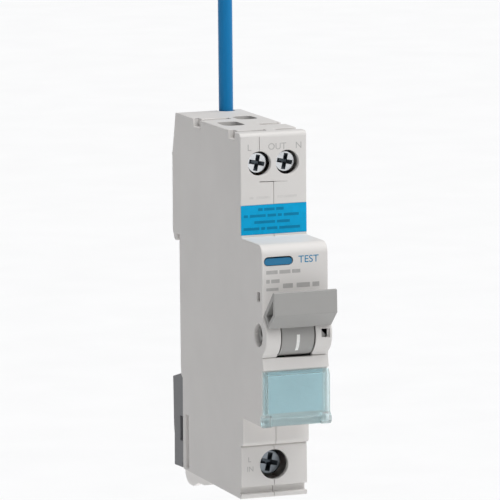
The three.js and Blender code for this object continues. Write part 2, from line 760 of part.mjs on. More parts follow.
function makeRailClip() {
  const side = [
    [0.15, -17.75],
    [0.1, -18.5],
    [-0.9, -19.6],
    [-0.9, -29],
    [1.8, -29],
    [1.8, -35.3],
    [-0.9, -35.3],
    [-0.9, -41],
    [0.6, -41],
    [0.6, -42.3],
    [6, -42.4, 0.3],
    [6, -34.6],
    [6.4, -32],
    [6.5, -19.5, 0.4],
  ];
  const tongue = [
    [1.5, -19],
    [5.4, -19.4],
    [4.6, -16.3],
    [2.4, -16.3],
    [1.5, -17.3],
  ];
  const rib = (x) => box(x, [-2.2, 1], [-29, -24]);
  addNode(
    "rail_clip",
    union(slab(side, [-8.4, 8.4]), slab(tongue, [-5, 5]), rib([-6, -4.8]), rib([4.8, 6])),
    "clip",
  );
}

// ---------------------------------------------------------------- neutral lead

function makeNeutralLead() {
  const slotHalf = LEAD_RADIUS + GAP;
  const clamp = cut(
    box([2.1, 7.05], [-2.6, 2.7], [32, 35.5]),
    rodZ([LEAD_X, LEAD_Y], slotHalf, [31, 37], MEDIUM),
    box([LEAD_X - slotHalf, LEAD_X + slotHalf], [LEAD_Y, 4], [31, 37]),
  );
  addNode("lead_clamp", clamp, "darkPlastic");
  const spacing = 6;
  const count = Math.round((LEAD_TOP_Z - LEAD_BOTTOM_Z) / spacing);
  const route = Array.from({ length: count + 1 }, (_, i) => [
    LEAD_X,
    LEAD_Y,
    LEAD_BOTTOM_Z + ((LEAD_TOP_Z - LEAD_BOTTOM_Z) * i) / count,
  ]);
  addNode("neutral_lead", tube(route, LEAD_RADIUS, 8, count), "leadInsulation");
  const collarZ = [LEAD_TOP_Z + GAP, LEAD_TOP_Z + 7];
  const ferrule = union(
    rodZ([LEAD_X, LEAD_Y], 2.3, collarZ, COARSE),
    rodZ([LEAD_X, LEAD_Y], 1.35, [collarZ[1] - 0.5, collarZ[1] + 10], COARSE),
  );
  addNode("lead_ferrule", ferrule, "steel");
}

makeShells();
makeCaps();
makeLabels();
makeToggle();
makeStatusFlag();
makeLinkRod();
makeContacts();
makeTripLever();
makeMagnet();
makeThermalTrip();
makeArcChute();
makeElectronics();
makeWires();
makeTerminals();
makeTestCircuit();
makeRailClip();
makeNeutralLead();

export default root;
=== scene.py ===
"""One-module residual current breaker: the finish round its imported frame."""

import json
import math

import bmesh
import bpy
from bpy.props import FloatProperty, FloatVectorProperty, IntProperty, PointerProperty
from bpy.types import Operator, Panel, PropertyGroup
from mathutils import Matrix, Vector


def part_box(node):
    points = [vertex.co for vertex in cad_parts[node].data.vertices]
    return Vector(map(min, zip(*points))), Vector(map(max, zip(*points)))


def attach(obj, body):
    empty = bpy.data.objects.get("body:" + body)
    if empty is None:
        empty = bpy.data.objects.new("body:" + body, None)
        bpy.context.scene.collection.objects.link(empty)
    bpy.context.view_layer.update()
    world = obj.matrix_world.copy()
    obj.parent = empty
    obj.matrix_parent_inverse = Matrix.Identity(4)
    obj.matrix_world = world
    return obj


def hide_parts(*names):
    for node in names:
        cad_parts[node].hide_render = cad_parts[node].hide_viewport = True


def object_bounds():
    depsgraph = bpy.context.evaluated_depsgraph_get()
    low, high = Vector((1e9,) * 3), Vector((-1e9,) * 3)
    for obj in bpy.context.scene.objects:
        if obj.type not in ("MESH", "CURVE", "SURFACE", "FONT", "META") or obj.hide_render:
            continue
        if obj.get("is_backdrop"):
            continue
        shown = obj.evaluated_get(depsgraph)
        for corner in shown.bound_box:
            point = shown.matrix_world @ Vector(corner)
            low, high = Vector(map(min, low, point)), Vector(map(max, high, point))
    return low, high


bl_info = {
    "name": "Residual Current Breaker",
    "version": (1, 0, 0),
    "blender": (4, 5, 0),
    "location": "View3D > Sidebar > Breaker",
    "description": "Builds the finish of a one-module residual current breaker",
    "category": "Object",
}

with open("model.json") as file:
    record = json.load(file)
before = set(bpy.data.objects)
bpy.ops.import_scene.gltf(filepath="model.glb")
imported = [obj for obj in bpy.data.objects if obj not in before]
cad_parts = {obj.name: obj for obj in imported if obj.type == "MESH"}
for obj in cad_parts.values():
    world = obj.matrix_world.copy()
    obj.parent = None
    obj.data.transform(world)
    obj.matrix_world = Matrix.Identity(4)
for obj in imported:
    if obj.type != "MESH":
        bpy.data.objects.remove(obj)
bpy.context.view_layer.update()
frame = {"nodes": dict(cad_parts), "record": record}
MM = 0.001
LIBRARY = {}


# ------------------------------------------------------------------ settings


def colour(label, about, value):
    return FloatVectorProperty(
        name=label, description=about, subtype="COLOR", size=3, min=0.0, max=1.0, default=value
    )


def length(label, about, value):
    return FloatProperty(name=label, description=about, unit="LENGTH", min=0.0, default=value * MM)


def number(label, about, value):
    return FloatProperty(name=label, description=about, min=0.0, default=value)


def angle(label, about, degrees):
    return FloatProperty(
        name=label, description=about, subtype="ANGLE", unit="ROTATION", default=math.radians(degrees)
    )


class BreakerColours(PropertyGroup):
    """Colours of the breaker's finishes."""

    case: colour("Case", "Moulded case and terminal panels", (0.72, 0.70, 0.68))
    toggle: colour("Toggle", "Toggle and status flag", (0.36, 0.355, 0.345))
    clip: colour("Rail clip", "Sliding clip at the rail", (0.19, 0.192, 0.2))
    cover: colour("Cover", "Tint of the clear label cover", (0.66, 0.91, 0.96))
    card: colour("Card", "Label card behind the cover", (0.74, 0.82, 0.84))
    label: colour("Label", "Blue band over the nose", (0.0, 0.38, 0.70))
    print_blue: colour("Label print", "Print on the blue band", (0.0, 0.22, 0.42))
    print_grey: colour("Case print", "Grey marks on the case", (0.47, 0.46, 0.45))
    button: colour("Test button", "Narrow test button", (0.02, 0.19, 0.37))
    lead: colour("Lead", "Insulation of the neutral lead", (0.0, 0.19, 0.46))
    inner_wire: colour("Line wire", "Insulation of the inner line wire", (0.13, 0.055, 0.03))
    mark: colour("Mark", "White bar on the drum", (0.86, 0.86, 0.84))


class BreakerSizes(PropertyGroup):
    """Sizes that belong to the finish and not to the frame."""

    rim: length("Rim", "Rounding round the side faces", 0.3)
    edge: length("Edge", "Rounding of the moulded edges", 0.14)
    metal_edge: length("Metal edge", "Rounding of the metal edges", 0.08)
    lead_width: length("Lead width", "Outer diameter of the neutral lead", 3.65)
    print_height: length("Print height", "How far print stands proud", 0.02)
    lead_points: IntProperty(
        name="Lead points", description="Points along the lead", min=15, max=40, default=20
    )


class BreakerStage(PropertyGroup):
    """Camera and light."""

    lens: FloatProperty(
        name="Lens", description="Focal length", unit="CAMERA", min=1.0, default=451.2
    )
    roll: angle("Roll", "Tilt of the horizon", -0.52)
    sun: number("Key light", "Strength of the key light", 2.7)
    sun_spread: angle("Key spread", "Angle that the key light fills", 60)
    sky: number("Fill light", "Strength of the fill light", 0.64)
    floor_drop: length("Floor drop", "Gap between the lowest foot and the floor", 60.0)


def colours():
    return bpy.context.scene.breaker_colours


def sizes():
    return bpy.context.scene.breaker_sizes


def stage_settings():
    return bpy.context.scene.breaker_stage


# ------------------------------------------------------------------ mesh helpers


def at(x, y, z):
    return Vector((x, y, z)) * MM


def merged_copy(node):
    """A welded copy of a CAD node, with each flat face made whole."""
    bm = bmesh.new()
    bm.from_mesh(frame["nodes"][node].data)
    bmesh.ops.remove_doubles(bm, verts=bm.verts, dist=0.002 * MM)
    bmesh.ops.dissolve_limit(
        bm,
        angle_limit=math.radians(0.4),
        use_dissolve_boundaries=False,
        verts=bm.verts,
        edges=bm.edges,
        delimit=set(),
    )
    return bm


def round_edges(bm, radius, sharper_than=50, longer_than=3.0, segments=2, keep=None):
    """Rounds the sharp edges that are long enough to take the radius."""
    limit = math.radians(sharper_than)
    edges = [
        e
        for e in bm.edges
        if len(e.link_faces) == 2
        and e.calc_face_angle(0) > limit
        and e.calc_length() > longer_than * radius
        and (keep is None or keep(e))
    ]
    if edges:
        bmesh.ops.bevel(
            bm,
            geom=edges,
            offset=radius,
            offset_type="OFFSET",
            segments=segments,
            profile=0.5,
            affect="EDGES",
            clamp_overlap=False,
            material=-1,
        )


def new_object(name, bm, smooth=34):
    mesh = bpy.data.meshes.new(name)
    bm.to_mesh(mesh)
    bm.free()
    mesh.shade_smooth()
    mesh.set_sharp_from_angle(angle=math.radians(smooth))
    piece = bpy.data.objects.new(name, mesh)
    bpy.context.scene.collection.objects.link(piece)
    return piece


def keep_flat(piece):
    """Lets the large faces set the shading, so rounded edges don't darken them."""
    weighted = piece.modifiers.new("flat_faces", "WEIGHTED_NORMAL")
    weighted.keep_sharp = True
    weighted.weight = 60


def install(piece, body, material, slot, *nodes):
    piece.data.materials.clear()
    piece.data.materials.append(material)
    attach(piece, body)
    if nodes:
        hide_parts(*nodes)
    return piece


def body_of(node):
    for body, nodes in frame["record"]["behaviour"]["bodies"].items():
        if node in nodes:
            return body
    raise ValueError(f"no body holds {node}")


def refined(node, material, slot, radius, **rounding):
    """The CAD node's own shape with its edges rounded."""
    bm = merged_copy(node)
    round_edges(bm, radius, **rounding)
    piece = new_object(node + "_finished", bm)
    keep_flat(piece)
    return install(piece, body_of(node), material, slot, node)


def add_box(bm, low, high, radius=0.0, segments=2):
    """Adds a box between two corners, with rounded edges if a radius is given."""
    low, high = Vector(low), Vector(high)
    made = bmesh.ops.create_cube(bm, size=1.0)
    span = high - low
    bmesh.ops.scale(bm, vec=span, verts=made["verts"])
    bmesh.ops.translate(bm, vec=(low + high) / 2, verts=made["verts"])
    if radius:
        edges = list({e for v in made["verts"] for e in v.link_edges})
        bmesh.ops.bevel(
            bm,
            geom=edges,
            offset=radius,
            offset_type="OFFSET",
            segments=segments,
            profile=0.5,
            affect="EDGES",
            clamp_overlap=True,
            material=-1,
        )


def draw_out(bm, face, centre, radius, rings, axis):
    """Draws a round face out along an axis, one ring of (radius, advance) at a time."""
    for new_radius, advance in rings:
        made = bmesh.ops.extrude_face_region(bm, geom=[face])
        verts = [g for g in made["geom"] if isinstance(g, bmesh.types.BMVert)]
        face = [g for g in made["geom"] if isinstance(g, bmesh.types.BMFace)][0]
        grow = new_radius / radius
        radius = new_radius
        bmesh.ops.translate(bm, vec=axis * advance, verts=verts)
        bmesh.ops.scale(
            bm,
            vec=[1 if abs(along) > 0.5 else grow for along in axis],
            space=Matrix.Translation(-centre),
            verts=verts,
        )
    bmesh.ops.recalc_face_normals(bm, faces=bm.faces)


def cut(piece, tool):
    """Cuts the tool's shape out of a piece and discards the tool."""
    modifier = piece.modifiers.new("cut", "BOOLEAN")
    modifier.operation = "DIFFERENCE"
    modifier.solver = "EXACT"
    modifier.object = tool
    bpy.context.view_layer.update()
    evaluated = piece.evaluated_get(bpy.context.evaluated_depsgraph_get())
    mesh = bpy.data.meshes.new_from_object(evaluated)
    piece.modifiers.remove(modifier)
    old = piece.data
    piece.data = mesh
    bpy.data.meshes.remove(old)
    bpy.data.objects.remove(tool)


def coil(name, centre, axis, radius, wire, start, end, turns, sides=8, steps=20):
    """A helical spring: a round wire section spun about the axis while it advances."""
    axis = Vector(axis).normalized()
    side = axis.orthogonal().normalized()
    across = axis.cross(side)
    bm = bmesh.new()
    tilt = Matrix((side, axis, -across)).transposed().to_4x4()
    origin = Vector(centre) + axis * start + side * radius
    ring = bmesh.ops.create_circle(
        bm, cap_ends=False, segments=sides, radius=wire / 2, matrix=Matrix.Translation(origin) @ tilt
    )
    count = int(turns * steps)
    bmesh.ops.spin(
        bm,
        geom=ring["verts"] + list({e for v in ring["verts"] for e in v.link_edges}),
        cent=centre,
        axis=axis,
        dvec=axis * (end - start) / count,
        angle=2 * math.pi * turns,
        steps=count,
        use_merge=False,
        use_duplicate=False,
    )
    bmesh.ops.holes_fill(bm, edges=[e for e in bm.edges if len(e.link_faces) == 1], sides=0)
    bmesh.ops.recalc_face_normals(bm, faces=bm.faces)
    return new_object(name, bm, smooth=60)


# ------------------------------------------------------------------ materials


def start_material(name):
    material = bpy.data.materials.new(name)
    material.use_nodes = True
    tree = material.node_tree
    shader = tree.nodes["Principled BSDF"]
    coords = tree.nodes.new("ShaderNodeTexCoord")
    LIBRARY[name] = material
    return material, tree, shader, coords.outputs["Object"]


def add_noise(tree, coords, scale, detail=2.0, stretch=None):
    noise = tree.nodes.new("ShaderNodeTexNoise")
    noise.inputs["Scale"].default_value = scale
    noise.inputs["Detail"].default_value = detail
    if stretch:
        mapping = tree.nodes.new("ShaderNodeMapping")
        mapping.inputs["Scale"].default_value = stretch
        tree.links.new(coords, mapping.inputs["Vector"])
        coords = mapping.outputs["Vector"]
    tree.links.new(coords, noise.inputs["Vector"])
    return noise.outputs["Fac"]


def add_ramp(tree, factor, low, high, span=(0.3, 0.7)):
    ramp = tree.nodes.new("ShaderNodeValToRGB")
    for element, place, value in zip(ramp.color_ramp.elements, span, (low, high)):
        element.position = place
        element.color = (*value, 1.0)
    tree.links.new(factor, ramp.inputs["Fac"])
    return ramp.outputs["Color"]


def add_range(tree, factor, low, high, span=(0.3, 0.7)):
    spread = tree.nodes.new("ShaderNodeMapRange")
    spread.inputs["From Min"].default_value = span[0]
    spread.inputs["From Max"].default_value = span[1]
    spread.inputs["To Min"].default_value = low
    spread.inputs["To Max"].default_value = high
    tree.links.new(factor, spread.inputs["Value"])
    return spread.outputs["Result"]


def add_bump(tree, shader, height, strength, distance):
    bump = tree.nodes.new("ShaderNodeBump")
    bump.inputs["Strength"].default_value = strength
    bump.inputs["Distance"].default_value = distance
    tree.links.new(height, bump.inputs["Height"])
    tree.links.new(bump.outputs["Normal"], shader.inputs["Normal"])


def shade(value, factor):
    return tuple(min(1.0, max(0.0, channel * factor)) for channel in value)


def moulded(name, tint, roughness=0.5, grain=2600, depth=0.012, variation=0.03, sheen=0.35):
    """Injection-moulded plastic: fine spark-eroded grain and faint flow mottling."""
    material, tree, shader, coords = start_material(name)
    flow = add_noise(tree, coords, 55, 3.0)
    base = add_ramp(tree, flow, shade(tint, 1 - variation), shade(tint, 1 + variation))
    tree.links.new(base, shader.inputs["Base Color"])
    fine = add_noise(tree, coords, grain, 2.0)
    rough = add_range(tree, fine, roughness - 0.06, roughness + 0.06)
    tree.links.new(rough, shader.inputs["Roughness"])
    add_bump(tree, shader, fine, 0.35, depth * MM)
    shader.inputs["Specular IOR Level"].default_value = sheen
    return material


def clear_plastic(name, tint):
    """Clear cover plastic: tinted, glossy, with the slight ripple of a moulding."""
    material, tree, shader, coords = start_material(name)
    ripple = add_noise(tree, coords, 120, 1.0)
    base = add_ramp(tree, ripple, shade(tint, 0.96), shade(tint, 1.02))
    tree.links.new(base, shader.inputs["Base Color"])
    rough = add_range(tree, ripple, 0.05, 0.09)
    tree.links.new(rough, shader.inputs["Roughness"])
    add_bump(tree, shader, ripple, 0.1, 0.01 * MM)
    shader.inputs["IOR"].default_value = 1.45
    shader.inputs["Transmission Weight"].default_value = 1.0
    shader.inputs["Alpha"].default_value = 0.6
    return material


def printed(name, tint, roughness=0.45):
    """Printed film or ink: an even colour broken by fine ink density changes."""
    material, tree, shader, coords = start_material(name)
    density = add_noise(tree, coords, 900, 4.0)
    base = add_ramp(tree, density, shade(tint, 0.95), shade(tint, 1.05))
    tree.links.new(base, shader.inputs["Base Color"])
    rough = add_range(tree, density, roughness - 0.05, roughness + 0.05)
    tree.links.new(rough, shader.inputs["Roughness"])
    add_bump(tree, shader, density, 0.15, 0.004 * MM)
    shader.inputs["Specular IOR Level"].default_value = 0.15
    return material


def card_stock(name, tint):
    """Card: matt, with short paper fibres."""
    material, tree, shader, coords = start_material(name)
    fibres = add_noise(tree, coords, 1400, 5.0, stretch=(1.0, 1.0, 3.5))
    base = add_ramp(tree, fibres, shade(tint, 0.94), shade(tint, 1.04))
    tree.links.new(base, shader.inputs["Base Color"])
    add_bump(tree, shader, fibres, 0.4, 0.01 * MM)
    shader.inputs["Roughness"].default_value = 0.9
    return material


def insulation(name, tint):
    """Extruded PVC: satin, with faint lines along its length."""
    material, tree, shader, coords = start_material(name)
    lines = add_noise(tree, coords, 1500, 2.0, stretch=(1.0, 1.0, 0.04))
    base = add_ramp(tree, lines, shade(tint, 0.94), shade(tint, 1.06))
    tree.links.new(base, shader.inputs["Base Color"])
    rough = add_range(tree, lines, 0.34, 0.44)
    tree.links.new(rough, shader.inputs["Roughness"])
    add_bump(tree, shader, lines, 0.2, 0.008 * MM)
    shader.inputs["Specular IOR Level"].default_value = 0.25
    return material


def metal(name, tint, roughness, grain=(1.0, 1.0, 1.0), scale=1800, depth=0.01):
    """Bare or plated metal: fine drawn lines or plating grain, and dull patches."""
    material, tree, shader, coords = start_material(name)
    lines = add_noise(tree, coords, scale, 3.0, stretch=grain)
    patches = add_noise(tree, coords, 160, 2.0)
    base = add_ramp(tree, patches, shade(tint, 0.86), shade(tint, 1.06))
    tree.links.new(base, shader.inputs["Base Color"])
    rough = add_range(tree, lines, roughness * 0.75, roughness * 1.3)
    tree.links.new(rough, shader.inputs["Roughness"])
    add_bump(tree, shader, lines, 0.25, depth * MM)
    shader.inputs["Metallic"].default_value = 1.0
    return material


def speckled(name, dark, light, scale, roughness):
    """Fibre board, ferrite or lacquer: a two-tone speckle."""
    material, tree, shader, coords = start_material(name)
    speck = add_noise(tree, coords, scale, 4.0)
    base = add_ramp(tree, speck, dark, light)
    tree.links.new(base, shader.inputs["Base Color"])
    rough = add_range(tree, speck, roughness - 0.08, roughness + 0.08)
    tree.links.new(rough, shader.inputs["Roughness"])
    add_bump(tree, shader, speck, 0.2, 0.01 * MM)
    return material


def studio_floor(name):
    material, tree, shader, coords = start_material(name)
    grain = add_noise(tree, coords, 40, 3.0)
    base = add_ramp(tree, grain, (0.96, 0.96, 0.96), (0.98, 0.98, 0.98))
    tree.links.new(base, shader.inputs["Base Color"])
    shader.inputs["Roughness"].default_value = 0.9
    shader.inputs["Specular IOR Level"].default_value = 0.1
    return material


def make_materials():
    tone = colours()
    moulded("case_plastic", tone.case)
    # Paler copy of the case plastic for the foot lobe: painted bounce light from the floor, not a
    # different plastic.
    moulded("foot_plastic", shade(tone.case, 1.3))
    moulded("toggle_plastic", tone.toggle, 0.42, depth=0.008)
    moulded("clip_plastic", tone.clip, 0.5)
    moulded("button_plastic", tone.button, 0.34, depth=0.006)
    moulded("black_plastic", (0.025, 0.026, 0.028), 0.5)
    clear_plastic("clear_plastic", tone.cover)
    printed("label_film", tone.label)
    printed("label_ink", tone.print_blue)
    printed("case_ink", tone.print_grey, 0.6)
    printed("mark_ink", tone.mark, 0.5)
    printed("faint_ink", shade(tone.case, 0.93), 0.6)
    card_stock("card_stock", tone.card)
    insulation("lead_insulation", tone.lead)
    insulation("line_insulation", tone.inner_wire)
    metal("plated_steel", (0.62, 0.64, 0.66), 0.3)
    metal("screw_steel", (0.72, 0.74, 0.76), 0.2, scale=900)
    metal("supply_steel", (0.28, 0.31, 0.34), 0.35, scale=900)
    # Darker, duller copy of the screw steel for the cross recess: painted shade, the same metal as
    # the head.
    metal("recess_steel", (0.15, 0.175, 0.20), 0.5, scale=900)
    metal("spring_steel", (0.50, 0.51, 0.53), 0.32)
    metal("copper", (0.72, 0.35, 0.20), 0.3, grain=(1.0, 0.1, 1.0))
    metal("enamelled_wire", (0.58, 0.22, 0.10), 0.22)
    metal("silver_contact", (0.80, 0.79, 0.75), 0.34)
    metal("tinned_copper", (0.70, 0.69, 0.66), 0.36)
    speckled("fibre_board", (0.40, 0.30, 0.17), (0.52, 0.41, 0.25), 1200, 0.8)
    speckled("circuit_board", (0.012, 0.13, 0.05), (0.02, 0.19, 0.08), 700, 0.36)
    speckled("blue_lacquer", (0.03, 0.08, 0.24), (0.05, 0.12, 0.32), 800, 0.35)
    speckled("resistor_lacquer", (0.36, 0.25, 0.13), (0.46, 0.33, 0.18), 900, 0.4)
    speckled("core_tape", (0.30, 0.23, 0.06), (0.40, 0.31, 0.09), 800, 0.5)


# ------------------------------------------------------------------ stage

CAMERA_PLACE = at(-556.53, -1475.21, 250.87)
CAMERA_TARGET = at(0.862, -25.0, 16.759)
KEY_DIRECTION = Vector((0.16, -0.36, 0.92))
FLOOR_HALF = 6.0


def place_camera():
    settings = stage_settings()
    data = bpy.data.cameras.new("camera")
    data.lens = settings.lens
    data.sensor_width = 36.0
    data.clip_start = 0.05
    data.clip_end = 50.0
    camera = bpy.data.objects.new("camera", data)
    forward = (CAMERA_TARGET - CAMERA_PLACE).normalized()
    right = forward.cross(Vector((0, 0, 1))).normalized()
    up = right.cross(forward)
    roll = settings.roll
    across = right * math.cos(roll) + up * math.sin(roll)
    above = up * math.cos(roll) - right * math.sin(roll)
    matrix = Matrix((across, above, -forward)).transposed().to_4x4()
    matrix.translation = CAMERA_PLACE
    camera.matrix_world = matrix
    bpy.context.scene.collection.objects.link(camera)
    bpy.context.scene.camera = camera


def place_lights():
    settings = stage_settings()
    data = bpy.data.lights.new("key", "SUN")
    data.energy = settings.sun
    data.angle = settings.sun_spread
    key = bpy.data.objects.new("key", data)
    key.rotation_euler = KEY_DIRECTION.to_track_quat("Z", "Y").to_euler()
    key.location = KEY_DIRECTION
    bpy.context.scene.collection.objects.link(key)
    world = bpy.data.worlds.new("studio")
    world.use_nodes = True
    tree = world.node_tree
    background = tree.nodes["Background"]
    background.inputs["Strength"].default_value = settings.sky
    coords = tree.nodes.new("ShaderNodeTexCoord")
    split = tree.nodes.new("ShaderNodeSeparateXYZ")
    tree.links.new(coords.outputs["Generated"], split.inputs["Vector"])
    ramp = add_ramp(tree, split.outputs["X"], (0.17, 0.174, 0.185), (1.0, 1.0, 1.0), (0.0, 1.0))
    tree.links.new(ramp, background.inputs["Color"])
    bpy.context.scene.world = world
    bpy.context.scene.view_settings.view_transform = "Standard"


def lay_floor():
    floor_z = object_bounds()[0][2] - stage_settings().floor_drop
    bm = bmesh.new()
    bmesh.ops.create_grid(bm, x_segments=1, y_segments=1, size=FLOOR_HALF)
    bmesh.ops.translate(bm, vec=(0, 0, floor_z), verts=bm.verts)
    floor = new_object("floor", bm)
    floor.data.materials.append(studio_floor("studio_floor"))
    floor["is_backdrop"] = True


class BREAKER_OT_stage(Operator):
    """Place the camera, the light and the floor"""

    bl_idname = "breaker.stage"
    bl_label = "Stage"

    def execute(self, context):
        place_camera()
        place_lights()
        lay_floor()
        return {"FINISHED"}


# ------------------------------------------------------------------ neutral lead

LEAD_PLACE = (4.6, 0.8)
LEAD_ENDS = (32.2, 88.0)
FERRULE_MOUTH = 2.28
FERRULE_RINGS = ((2.3, 0.25), (2.3, 3.4), (2.05, 0.9), (1.5, 1.9), (1.33, 0.6), (1.33, 9.0))


class BREAKER_OT_neutral_lead(Operator):
    """Run the blue neutral lead out of the top of the case, with its ferrule"""

    bl_idname = "breaker.neutral_lead"
    bl_label = "Neutral lead"

    def execute(self, context):
        setting = sizes()
        curve = bpy.data.curves.new("neutral_lead_wire", "CURVE")
        curve.dimensions = "3D"
        curve.bevel_depth = setting.lead_width / 2
        curve.bevel_resolution = 8
        curve.use_fill_caps = True
        spline = curve.splines.new("POLY")
        count = setting.lead_points
        spline.points.add(count - 1)
        for i, point in enumerate(spline.points):
            z = LEAD_ENDS[0] + (LEAD_ENDS[1] - LEAD_ENDS[0]) * i / (count - 1)
            point.co = (*at(*LEAD_PLACE, z), 1.0)
        spline.use_smooth = True
        lead = bpy.data.objects.new("neutral_lead_wire", curve)
        context.scene.collection.objects.link(lead)
        install(lead, "case", LIBRARY["lead_insulation"], "lead_insulation", "neutral_lead")
        ferrule = self.make_ferrule()
        return {"FINISHED"}

    def make_ferrule(self):
        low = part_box("lead_ferrule")[0]
        centre = at(*LEAD_PLACE, 0)
        start = centre + at(0, 0, low.z / MM)
        bm = bmesh.new()
        bmesh.ops.create_circle(
            bm,
            cap_ends=True,
            segments=40,
            radius=FERRULE_MOUTH * MM,
            matrix=Matrix.Translation(start),
        )
        rings = [(radius * MM, rise * MM) for radius, rise in FERRULE_RINGS]
        draw_out(bm, bm.faces[:][0], centre, FERRULE_MOUTH * MM, rings, Vector((0, 0, 1)))
        ferrule = new_object("crimp_ferrule", bm)
        return install(ferrule, "case", LIBRARY["tinned_copper"], "steel", "lead_ferrule")


# ------------------------------------------------------------------ case

FLUSH_X = (-7.25, -3.77, -3.7, -3.63, -0.2, -0.07, 0.07, 2.2, 8.0)
HALF_WIDTH = 8.75
# Faces below this height take the paler case plastic, which is painted bounce light.
FOOT_Z = -43.35


def lies_at(edge, x):
    return all(abs(v.co.x / MM - x) < 0.01 for v in edge.verts)


def at_rim(edge):
    """True on the outline of either side face."""
    return lies_at(edge, HALF_WIDTH) or lies_at(edge, -HALF_WIDTH)


def may_round(edge):
    """False where two panels meet flush, or on the outline that is rounded already."""
    return not at_rim(edge) and not any(lies_at(edge, x) for x in FLUSH_X)


def moulded_panel(node):
    """A piece of the casing: a fuller rounding round its side outline than elsewhere."""
    setting = sizes()
    bm = merged_copy(node)
    round_edges(bm, setting.rim, sharper_than=50, longer_than=1.8, segments=3, keep=at_rim)
    round_edges(bm, setting.edge, sharper_than=50, longer_than=2.2, keep=may_round)
    piece = new_object(node + "_finished", bm)
    keep_flat(piece)
    install(piece, body_of(node), LIBRARY["case_plastic"], "casing", node)
    # Faces under the foot height get a paler copy of the case plastic: painted bounce light from the
    # floor.
    piece.data.materials.append(LIBRARY["foot_plastic"])
    for face in piece.data.polygons:
        if face.center.z < FOOT_Z * MM:
            face.material_index = 1
    return piece


class BREAKER_OT_case(Operator):
    """Finish the two half shells and the panels over the terminals"""

    bl_idname = "breaker.case"
    bl_label = "Case"

    def execute(self, context):
        radius = sizes().edge
        for node in ("left_shell", "right_shell", "line_terminal_cap", "neutral_terminal_cap"):
            moulded_panel(node)
        refined("partition", LIBRARY["black_plastic"], "dark_plastic", radius)
        refined("lead_clamp", LIBRARY["black_plastic"], "dark_plastic", radius)
        return {"FINISHED"}


# ------------------------------------------------------------------ labels and marks

LABEL_ROWS = (
    (29.75, (-4.2, -3.0), (-2.6, 0.2), (0.6, 2.6)),
    (28.2, (-8.0, -6.9), (-6.4, -2.2), (-1.7, 0.6), (1.0, 2.1), (2.6, 6.6)),
    (26.6, (-5.2, 0.3), (0.8, 4.2)),
    (25.0, (-8.1, -3.9), (-3.4, -2.4), (-1.9, 0.9), (1.4, 6.9)),
)
LABEL_HALF = 0.34
FAINT_HALF = 0.3
UPPER_Y = -44.0
LOWER_Y = -42.75
NOSE_Y = -57.95
LIFT = 0.01
CASE_MARKS = (
    ("line_mark", "L", -6.4, UPPER_Y, 45.25, 2.3),
    ("neutral_mark", "N", 6.7, UPPER_Y, 45.25, 2.3),
    ("out_mark", "OUT", 1.0, UPPER_Y, 45.25, 2.3),
    ("supply_line_mark", "L", -6.6, LOWER_Y, -33.2, 1.8),
    ("in_mark", "IN", -6.4, LOWER_Y, -35.6, 1.8),
)
FAINT_ROW = ((32.75, (-6.6, -5.4), (-4.6, -0.9), (0.9, 6.1)),)
NOSE_ROWS = (
    (16.15, 0.45, (-7.6, -4.6), (-4.1, -1.2), (-0.8, 1.4)),
    (13.9, 0.45, (-7.6, -6.7), (-6.3, -4.1)),
    (11.9, 0.36, (-7.6, -4.4)),
    (12.6, 0.57, (-3.2, -0.6), (0.4, 3.9), (4.6, 6.4)),
)


def word_bars(bm, rows, half_height, front, proud):
    for row in rows:
        z, words = row[0], row[1:]
        for x0, x1 in words:
            add_box(
                bm,
                at(x0, front, z - half_height) - Vector((0, proud, 0)),
                at(x1, front, z + half_height),
            )


def letters(name, text, place, height, material, slot, thickness=0.02):
    """Block letters lying on a face that looks out along -Y."""
    data = bpy.data.curves.new(name + "_curve", "FONT")
    data.body = text
    data.size = height * MM
    data.align_x = "CENTER"
    data.align_y = "CENTER"
    data.extrude = thickness * MM / 2
    source = bpy.data.objects.new(name + "_curve", data)
    bpy.context.scene.collection.objects.link(source)
    bpy.context.view_layer.update()
    evaluated = source.evaluated_get(bpy.context.evaluated_depsgraph_get())
    mesh = bpy.data.meshes.new_from_object(evaluated)
    mesh.transform(Matrix.Translation(at(*place)) @ Matrix.Rotation(math.pi / 2, 4, "X"))
    bpy.data.objects.remove(source)
    piece = bpy.data.objects.new(name, mesh)
    bpy.context.scene.collection.objects.link(piece)
    return install(piece, "case", material, slot)


class BREAKER_OT_labels(Operator):
    """Lay the blue band, its print and the marks on the case"""

    bl_idname = "breaker.labels"
    bl_label = "Labels"

    def execute(self, context):
        proud = sizes().print_height
        refined("blue_label", LIBRARY["label_film"], "blue_label", 0.04 * MM)
        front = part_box("blue_label")[0].y / MM
        bm = bmesh.new()
        word_bars(bm, LABEL_ROWS, LABEL_HALF, front, proud)
        install(new_object("label_print", bm), "case", LIBRARY["label_ink"], "blue_label")
        bm = bmesh.new()
        for z, half, *words in NOSE_ROWS:
            word_bars(bm, [(z, *words)], half, NOSE_Y, proud)
        install(new_object("rating_print", bm), "case", LIBRARY["case_ink"], "casing")
        ink = LIBRARY["case_ink"]
        for name, text, x, y, z, height in CASE_MARKS:
            letters(name, text, (x, y - LIFT, z), height, ink, "casing")
        bm = bmesh.new()
        word_bars(bm, FAINT_ROW, FAINT_HALF, UPPER_Y, proud)
        install(new_object("faint_print", bm), "case", LIBRARY["faint_ink"], "casing")
        test_place = (3.6, NOSE_Y - LIFT, 18.9)
        letters("test_mark", "TEST", test_place, 2.5, LIBRARY["label_ink"], "blue_label")
        return {"FINISHED"}


# ------------------------------------------------------------------ toggle and flag

TOGGLE_AXIS = (-55.0, 0.3)
DRUM_RADIUS = 5.45
MARK_X = (-0.6, 0.2)
MARK_FROM = 4
MARK_TO = -44


